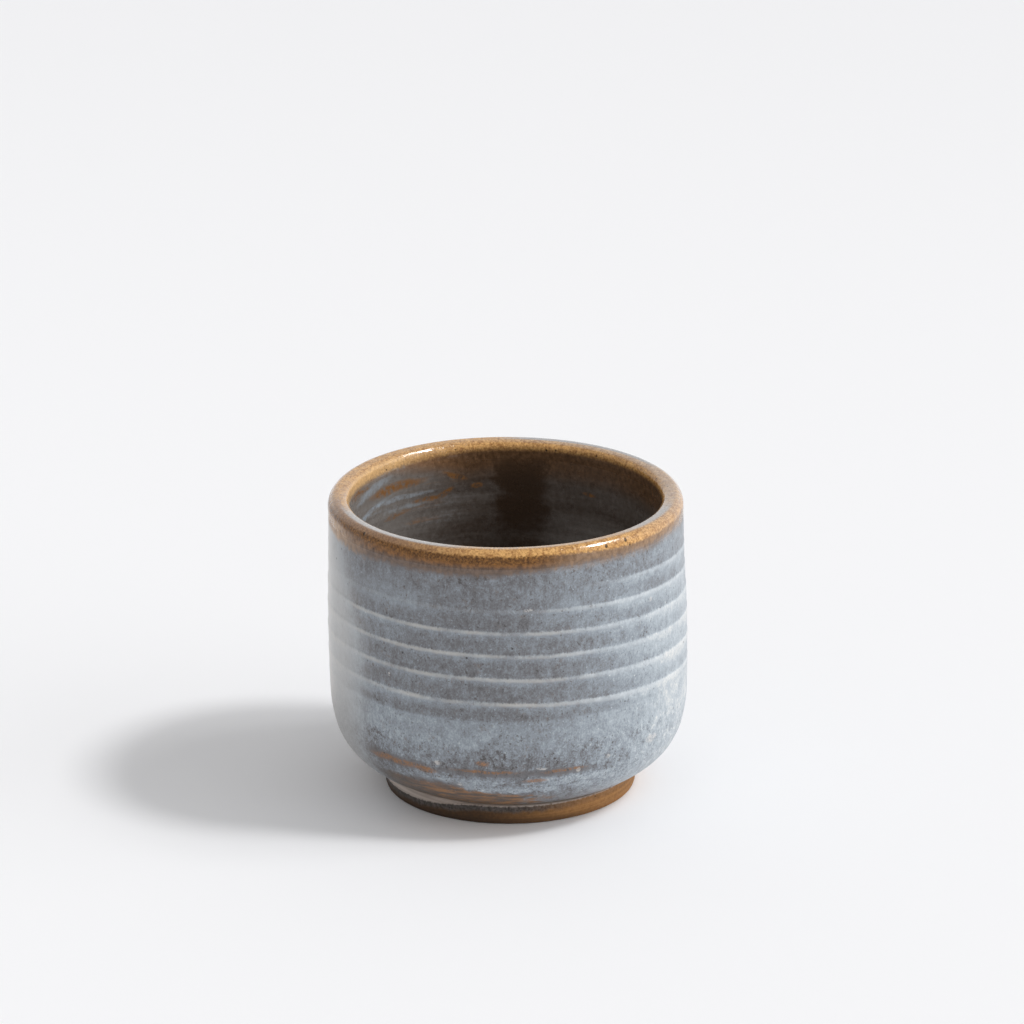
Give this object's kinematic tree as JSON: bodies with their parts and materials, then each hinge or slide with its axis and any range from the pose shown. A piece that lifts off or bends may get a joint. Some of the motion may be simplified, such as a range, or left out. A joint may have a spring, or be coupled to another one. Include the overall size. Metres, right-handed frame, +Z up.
{
  "type": "coffee cup",
  "caption": "Handleless wheel-thrown stoneware coffee cup: grooved upright wall, rounded lower curve, turned foot ring, glazed inside and out with a bare foot.",
  "frame": {"origin": "on the table, at the middle of the foot ring", "axes": "+Z up along the turning axis; +X and +Y are free, because every solid is turned about Z"},
  "size_m": [0.0824, 0.0824, 0.07],
  "materials": {
    "stoneware_clay": "bare fired brown stoneware, matt",
    "bare_foot_clay": "bare fired clay, turned, toasted amber brown, matt",
    "blue_grey_glaze": "mottled blue-grey glaze, paler on the ridges, semi-gloss",
    "liner_glaze": "grey-brown glaze with streaks, glossy",
    "amber_rim_glaze": "amber-brown where the glaze breaks over the lip, glossy"
  },
  "bodies": {
    "root": {"clay_body": "stoneware_clay", "foot_ring": "bare_foot_clay", "outer_glaze": "blue_grey_glaze", "liner_glaze": "liner_glaze", "rim_glaze": "amber_rim_glaze"}
  },
  "joints": []
}
